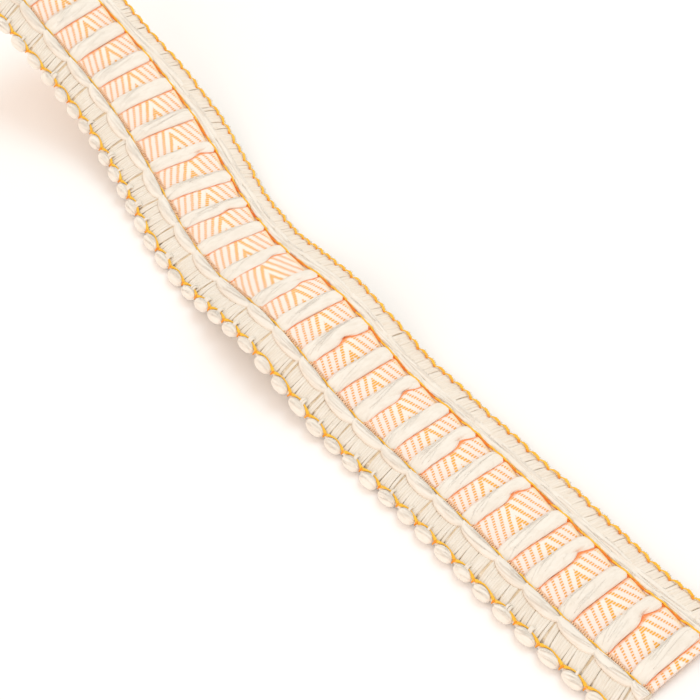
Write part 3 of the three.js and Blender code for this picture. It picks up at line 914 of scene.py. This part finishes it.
def over_rungs(along, low, high):
    """Height of a thread beside the ribbon, up on the rungs' ends and down between them"""
    near = 1 - smooth(np.abs(from_rung(along) + 0.1), 1.6, 3.1)
    return low + (high - low) * near


def inner_thread(name, node, sign, radius, low, high):
    """The golden thread beside the ribbon, on the side that sign gives"""
    yarns = Yarns()
    along = np.arange(END_GAP, LENGTH - END_GAP, INNER_STEP)
    sway = 0.1 * np.sin(along * 0.71) + 0.06 * np.sin(along * 1.93)
    path = np.stack([along, sign * (INNER_LINE + sway), over_rungs(along, low, high)], 1)
    yarns.add(path, radius, tone=0.35, **INNER_TWIST)
    piece = yarns.build(name, gold, "orange_thread")
    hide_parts(node)


def lobe_edge_thread():
    """Thin where it turns out from each dip, then thick down to the next"""
    yarns = Yarns()
    along = np.arange(END_GAP, LENGTH - END_GAP, LOBE_EDGE["step"])
    share = lobe_share(along)
    thick = smooth(share, 0.15, 0.45) * (1 - 0.4 * smooth(share, 0.9, 1.0))
    path = np.stack([along, lobe_line(along), LOBE_EDGE["above"] + LOBE_EDGE["rise"] * thick], 1)
    yarns.add(path, LOBE_EDGE["thin"] + LOBE_EDGE["thicker"] * thick, tone=0.3, **LOBE_EDGE_TWIST)
    piece = yarns.build("lobe_edge_thread", gold, "orange_thread")
    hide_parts("thread_lobe_edge")


def window_spans():
    """Where the window past each rung opens and closes"""
    edges = np.concatenate([RUNGS, [LENGTH + 1.0]])
    spans = zip(edges[:-1] + WINDOW["past"], edges[1:] - WINDOW["before"])
    return [(start, min(end, LENGTH - WINDOW["cut"])) for start, end in spans]


DEEP = {
    "steps": 24, "across": 8.0, "bow": 0.14, "above": 1.75, "rise": 0.08, "thin": 0.18, "thicker": 0.18,
    "thin_high": 0.14, "thicker_high": 0.16, "uneven": 0.15,
}


def deep_inner_strands():
    """The deep orange strand beside the ribbon in each window of the lobed side, and its knot. Its orange
    is deeper than the golden thread's, partly its own colour and partly painted shade
    """
    yarns, draw = Yarns(), np.random.default_rng(16)
    x = np.linspace(0, 1, DEEP["steps"])
    for start, end in window_spans():
        along = start + (end - start) * x
        full = np.sin(math.pi * x ** draw.uniform(0.55, 0.8))
        uneven = 1 + DEEP["uneven"] * np.sin(TURN * (draw.uniform(1.5, 2.5) * x + draw.uniform()))
        across = DEEP["across"] - DEEP["bow"] * full
        path = np.stack([along, across, DEEP["above"] + DEEP["rise"] * full], 1)
        wide = DEEP["thin"] + DEEP["thicker"] * full * uneven
        high = DEEP["thin_high"] + DEEP["thicker_high"] * full
        yarns.add(path, wide, high, tone=draw.uniform(), **DEEP_TWIST)
        knot = np.stack([start - 0.35 + 0.9 * x, 7.95 - 0.35 * x, 2.0 - 0.35 * x], 1)[::3]
        yarns.add(knot, 0.1 + 0.2 * np.sin(math.pi * x[::3]), tone=1.0)
    yarns.build("deep_inner_strands", deep, "orange_thread")


STITCH = {
    "steps": 8, "pitch": 0.5, "slant": 0.35, "stray": 0.08, "inner": (7.0, 7.2), "reach": 0.95,
    "lowest": 1.4, "rise": 0.6, "half": (0.15, 0.21), "high": 0.07, "sides": 6,
}


def selvedge_stitches():
    """Short slanting stitches over the ribbon's edge on the beaded side, seen in the windows"""
    yarns, draw = Yarns(), np.random.default_rng(17)
    x = np.linspace(0, 1, STITCH["steps"])
    lowest = STITCH["lowest"] + STITCH["rise"] * np.sin(0.6 * math.pi * x)
    for start, end in window_spans():
        for place in np.arange(start + 0.1, end - 0.1, STITCH["pitch"]):
            along = place + STITCH["slant"] * x + draw.uniform(-STITCH["stray"], STITCH["stray"])
            across = -draw.uniform(*STITCH["inner"]) - STITCH["reach"] * x
            top = ribbon_top(along, np.maximum(across, -RIBBON_EDGE))
            path = np.stack([along, across, np.maximum(top, lowest)], 1)
            yarns.add(path, draw.uniform(*STITCH["half"]), STITCH["high"], sides=STITCH["sides"],
                      tone=draw.uniform())
    return yarns.build("stitches_knob_side", russet, "orange_thread")


# Loose fibre ends, and the loops outside the lobed edge
STRAY = {
    "count": 900, "across": (-16.5, 13.2), "length": (0.8, 2.4), "above": 2.0, "higher": 0.75,
    "arch": 0.45, "curl": 0.3, "radius": 0.024, "cloth_edge": 7.5, "cloth_from": 1.5,
}
LOOP = {
    "pitch": 0.55, "long": 0.5, "reach": 0.55, "further": 0.25, "above": 1.25, "rise": 0.35,
    "radius": 0.07,
}


def stray_ends(yarns, draw):
    """Fibre ends that curl up from the yarns, with none on the bare cloth between rungs"""
    x = np.linspace(0, 1, 6)
    for _ in range(STRAY["count"]):
        along, across = draw.uniform(1, LENGTH - 1), draw.uniform(*STRAY["across"])
        turn, length = draw.uniform(0, TURN), draw.uniform(*STRAY["length"])
        above = STRAY["above"] + STRAY["higher"] * draw.uniform()
        if abs(across) < STRAY["cloth_edge"] and abs(from_rung(along)) > STRAY["cloth_from"]:
            continue
        bend = draw.uniform(-1, 1)
        curl = STRAY["curl"] * bend * x * x
        path = np.stack([along + length * x * math.cos(turn + 0.5 * bend) + curl,
                         across + length * x * math.sin(turn) - curl,
                         above + STRAY["arch"] * np.sin(math.pi * x * 0.8)], 1)
        yarns.add(path, STRAY["radius"] * (1 - 0.6 * x), sides=3, tone=draw.uniform())


def edge_loops(yarns, draw):
    """Fine loops outside the lobed edge"""
    x = np.linspace(0, 1, 6)
    arc = np.sin(math.pi * x)
    for place in np.arange(0.8, LENGTH - 1.2, LOOP["pitch"]):
        reach = LOOP["reach"] + LOOP["further"] * draw.uniform()
        along = place + LOOP["long"] * x
        across = lobe_line(along) + 0.1 + reach * arc
        path = np.stack([along, across, LOOP["above"] + LOOP["rise"] * arc * draw.uniform()], 1)
        yarns.add(path, LOOP["radius"], sides=4, tone=draw.uniform())


def fuzz():
    """Loose fibre ends over the whole trim, and loops along its lobed edge"""
    yarns, draw = Yarns(), np.random.default_rng(18)
    stray_ends(yarns, draw)
    edge_loops(yarns, draw)
    yarns.build("loose_fibres", cream_fine, "cream_cotton")


# Camera, floor and lights, in metres and degrees
VIEW = {"azimuth": 142.80, "elevation": 47.43, "roll": -0.519, "distance": 0.37943, "lens": 91.87}
TARGET = Vector((0.013916, 0.000613, 0.0))
FLOOR = {"half": 3, "below": 0.00002, "color": (0.95, 0.93, 0.92, 1.0), "roughness": 0.8}
BACKDROP = {"color": (1.0, 0.88, 0.79, 1.0), "strength": 0.98}
LIGHTS = [
    {"name": "key", "place": (-0.08, 0.62, 1.05), "size": 0.9, "power": 4.8, "color": (0.5, 0.85, 1.0)},
    {"name": "fill", "place": (0.25, -0.75, 0.35), "size": 0.7, "power": 2.0, "color": (1.0, 0.92, 0.88)},
]


def camera():
    """The photo's view, aimed at TARGET"""
    data = bpy.data.cameras.new("camera")
    data.lens = VIEW["lens"]
    data.clip_start, data.clip_end = 0.01, 20.0
    azimuth, elevation, roll = (math.radians(VIEW[k]) for k in ("azimuth", "elevation", "roll"))
    ahead = Vector((math.cos(elevation) * math.cos(azimuth), math.cos(elevation) * math.sin(azimuth),
                    -math.sin(elevation)))
    right = Vector((math.sin(azimuth), -math.cos(azimuth), 0.0))
    up = right.cross(ahead)
    right, up = (right * math.cos(roll) + up * math.sin(roll),
                 up * math.cos(roll) - right * math.sin(roll))
    made = bpy.data.objects.new("camera", data)
    axes = Matrix((right, up, -ahead)).transposed().to_4x4()
    made.matrix_world = Matrix.Translation(TARGET - ahead * VIEW["distance"]) @ axes
    bpy.context.scene.collection.objects.link(made)
    bpy.context.scene.camera = made


def floor():
    half = FLOOR["half"]
    mesh = bpy.data.meshes.new("floor")
    mesh.from_pydata([(-half, -half, 0), (half, -half, 0), (half, half, 0), (-half, half, 0)], [],
                     [(0, 1, 2, 3)])
    s = Shader("pale_floor")
    mesh.materials.append(s.finish(FLOOR["color"], None, FLOOR["roughness"], 0.0, WHITE))
    made = bpy.data.objects.new("floor", mesh)
    made.location.z = -FLOOR["below"]
    bpy.context.scene.collection.objects.link(made)


def light(name, place, size, power, color):
    """A round lamp that faces the middle of the frame"""
    data = bpy.data.lights.new(name, "AREA")
    data.shape = "DISK"
    data.size = size
    data.energy = power
    data.color = color
    made = bpy.data.objects.new(name, data)
    made.location = place
    made.rotation_euler = (-Vector(place)).to_track_quat("-Z", "Y").to_euler()
    bpy.context.scene.collection.objects.link(made)


def studio():
    world = bpy.data.worlds.new("studio")
    world.use_nodes = True
    backdrop = world.node_tree.nodes["Background"]
    backdrop.inputs[0].default_value = BACKDROP["color"]
    backdrop.inputs[1].default_value = BACKDROP["strength"]
    bpy.context.scene.world = world
    for row in LIGHTS:
        light(**row)
    bpy.context.scene.view_settings.view_transform = "Standard"


camera()
floor()
studio()
cloth = ribbon()
surface_fibres, edging = Yarns(), Yarns()
rungs(surface_fibres, edging)
# Orange threads that paint the shade along each rung's near side
edging.build("rung_edge_shade_threads", crease_shade_thread, "orange_thread")
band_ground()
leaf_floats(surface_fibres)
lobe_floats(surface_fibres)
comb_threads()
lobe_threads()
beads(surface_fibres)
bead_edge_thread()
edge_knots()
bead_wraps()
inner_thread("inner_thread_knob_side", "thread_inner_knob_side", -1, radius=0.21, low=1.72, high=2.0)
inner_thread("inner_thread_lobe_side", "thread_inner_lobe_side", 1, radius=0.22, low=1.78, high=2.2)
lobe_edge_thread()
deep_inner_strands()
stitches = selvedge_stitches()
fuzz()
surface_fibres.build("surface_fibres", cream_fibre, "cream_cotton")
